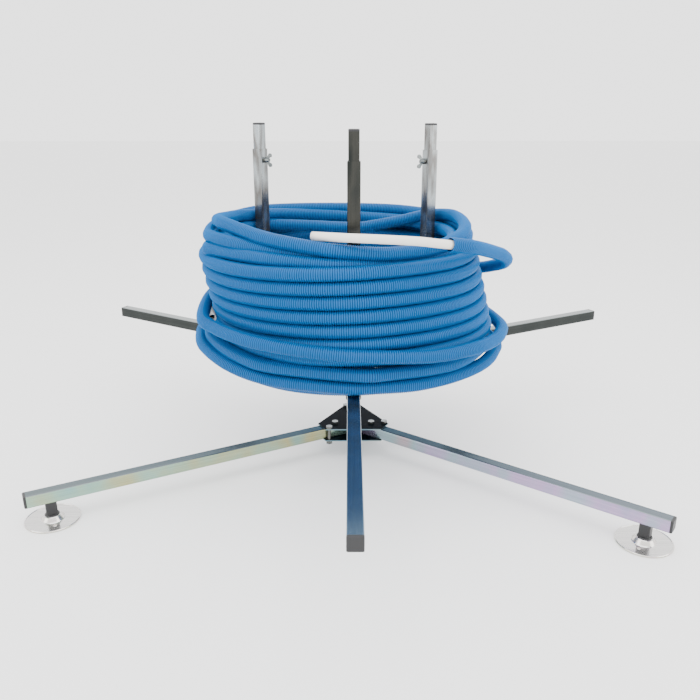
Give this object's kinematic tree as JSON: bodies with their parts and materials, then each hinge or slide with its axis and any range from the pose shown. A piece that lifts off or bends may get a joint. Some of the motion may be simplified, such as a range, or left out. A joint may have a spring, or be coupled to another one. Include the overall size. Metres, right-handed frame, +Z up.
{
  "type": "pipe decoiler",
  "caption": "Free-standing unwinding stand of square steel tube with three folding legs, a turntable with three arms and telescopic posts, loaded with a coil of corrugated conduit.",
  "frame": {"origin": "on the turntable's vertical axis at the floor", "axes": "+Z up, -Y towards the front arm, +X to the right seen from the front"},
  "size_m": [1.5686, 1.7591, 0.877],
  "materials": {
    "zinc_steel": "bright zinc plated with a faint iridescent passivation",
    "zinc_plate": "zinc plated sheet steel",
    "zinc_disc": "pressed zinc plated sheet steel",
    "zinc_fastener": "bright zinc plated",
    "black_plastic": "moulded",
    "bush_plastic": "moulded",
    "blue_conduit": "corrugated, satin gloss",
    "white_pipe": "smooth satin"
  },
  "bodies": {
    "base": {"base_bottom_plate": "zinc_plate", "base_top_plate": "zinc_plate", "column_tube": "zinc_steel", "spindle_axle": "zinc_fastener", "axle_washer": "zinc_fastener", "axle_nut": "zinc_fastener", "leg_pivot_bolts": "zinc_fastener", "leg_stop_bolts": "zinc_fastener", "base_nuts": "zinc_fastener"},
    "rotor": {"rotor_bottom_plate": "zinc_plate", "rotor_top_plate": "zinc_plate", "rotor_hub_tube": "zinc_steel", "lower_bush": "bush_plastic", "upper_bush": "bush_plastic", "front_arm": "zinc_steel", "right_arm": "zinc_steel", "left_arm": "zinc_steel", "arm_caps": "black_plastic", "arm_bolts": "zinc_fastener", "arm_nuts": "zinc_fastener", "conduit_coil": "blue_conduit", "conduit_lower_turns": "blue_conduit", "conduit_tail": "blue_conduit", "inner_pipe": "white_pipe"},
    "left_leg_body": {"left_leg": "zinc_steel", "left_leg_cap": "black_plastic", "left_foot_stem": "black_plastic", "left_foot_disc": "zinc_disc", "left_foot_bolt": "zinc_fastener"},
    "right_leg_body": {"right_leg": "zinc_steel", "right_leg_cap": "black_plastic", "right_foot_stem": "black_plastic", "right_foot_disc": "zinc_disc", "right_foot_bolt": "zinc_fastener"},
    "back_leg_body": {"back_leg": "zinc_steel", "back_leg_cap": "black_plastic", "back_foot_stem": "black_plastic", "back_foot_disc": "zinc_disc", "back_foot_bolt": "zinc_fastener"},
    "front_carrier": {"front_slider": "zinc_steel", "front_outer_post": "zinc_steel", "front_weld_nuts": "zinc_fastener"},
    "front_extension": {"front_inner_post": "zinc_steel", "front_post_cap": "black_plastic"},
    "front_post_screw": {"front_post_lock": "zinc_fastener"},
    "front_slider_screw": {"front_slider_lock": "zinc_fastener"},
    "right_carrier": {"right_slider": "zinc_steel", "right_outer_post": "zinc_steel", "right_weld_nuts": "zinc_fastener"},
    "right_extension": {"right_inner_post": "zinc_steel", "right_post_cap": "black_plastic"},
    "right_post_screw": {"right_post_lock": "zinc_fastener"},
    "right_slider_screw": {"right_slider_lock": "zinc_fastener"},
    "left_carrier": {"left_slider": "zinc_steel", "left_outer_post": "zinc_steel", "left_weld_nuts": "zinc_fastener"},
    "left_extension": {"left_inner_post": "zinc_steel", "left_post_cap": "black_plastic"},
    "left_post_screw": {"left_post_lock": "zinc_fastener"},
    "left_slider_screw": {"left_slider_lock": "zinc_fastener"}
  },
  "joints": [
    {"name": "turntable_spin", "type": "hinge", "parent": "base", "child": "rotor", "pos_m": [0, 0, 0.267], "axis": [0, 0, 1], "continuous": true},
    {"name": "left_leg_fold", "type": "hinge", "parent": "base", "child": "left_leg_body", "pos_m": [-0.05023, -0.029, 0.064], "axis": [0, 0, 1], "range_deg": [-109, 2]},
    {"name": "right_leg_fold", "type": "hinge", "parent": "base", "child": "right_leg_body", "pos_m": [0.05023, -0.029, 0.064], "axis": [0, 0, 1], "range_deg": [-103.6, 7.4]},
    {"name": "back_leg_fold", "type": "hinge", "parent": "base", "child": "back_leg_body", "pos_m": [0, 0.058, 0.064], "axis": [0, 0, 1], "range_deg": [-111, 0]},
    {"name": "front_post_slide", "type": "slide", "parent": "rotor", "child": "front_carrier", "axis": [-0.007, -1, 0], "range_m": [-0.09, 0.014]},
    {"name": "front_post_extend", "type": "slide", "parent": "front_carrier", "child": "front_extension", "axis": [0, 0, 1], "range_m": [-0.06, 0.25]},
    {"name": "front_post_lock_turn", "type": "hinge", "parent": "front_carrier", "child": "front_post_screw", "pos_m": [-0.00154, -0.21999, 0.781], "axis": [0.007, 1, 0], "range_deg": [0, 360]},
    {"name": "front_slider_lock_turn", "type": "hinge", "parent": "front_carrier", "child": "front_slider_screw", "pos_m": [-0.00161, -0.22999, 0.2457], "axis": [0, 0, -1], "range_deg": [0, 360]},
    {"name": "right_post_slide", "type": "slide", "parent": "rotor", "child": "right_carrier", "axis": [0.8862, 0.4633, 0], "range_m": [-0.08, 0.002]},
    {"name": "right_post_extend", "type": "slide", "parent": "right_carrier", "child": "right_extension", "axis": [0, 0, 1], "range_m": [-0.06, 0.25]},
    {"name": "right_post_lock_turn", "type": "hinge", "parent": "right_carrier", "child": "right_post_screw", "pos_m": [0.1861, 0.09729, 0.781], "axis": [-0.8862, -0.4633, 0], "range_deg": [0, 360]},
    {"name": "right_slider_lock_turn", "type": "hinge", "parent": "right_carrier", "child": "right_slider_screw", "pos_m": [0.19496, 0.10193, 0.2457], "axis": [0, 0, -1], "range_deg": [0, 360]},
    {"name": "left_post_slide", "type": "slide", "parent": "rotor", "child": "left_carrier", "axis": [-0.8526, 0.5225, 0], "range_m": [-0.15, 0]},
    {"name": "left_post_extend", "type": "slide", "parent": "left_carrier", "child": "left_extension", "axis": [0, 0, 1], "range_m": [-0.06, 0.25]},
    {"name": "left_post_lock_turn", "type": "hinge", "parent": "left_carrier", "child": "left_post_screw", "pos_m": [-0.23362, 0.14316, 0.781], "axis": [0.8526, -0.5225, 0], "range_deg": [0, 360]},
    {"name": "left_slider_lock_turn", "type": "hinge", "parent": "left_carrier", "child": "left_slider_screw", "pos_m": [-0.24215, 0.14839, 0.2457], "axis": [0, 0, -1], "range_deg": [0, 360]}
  ]
}
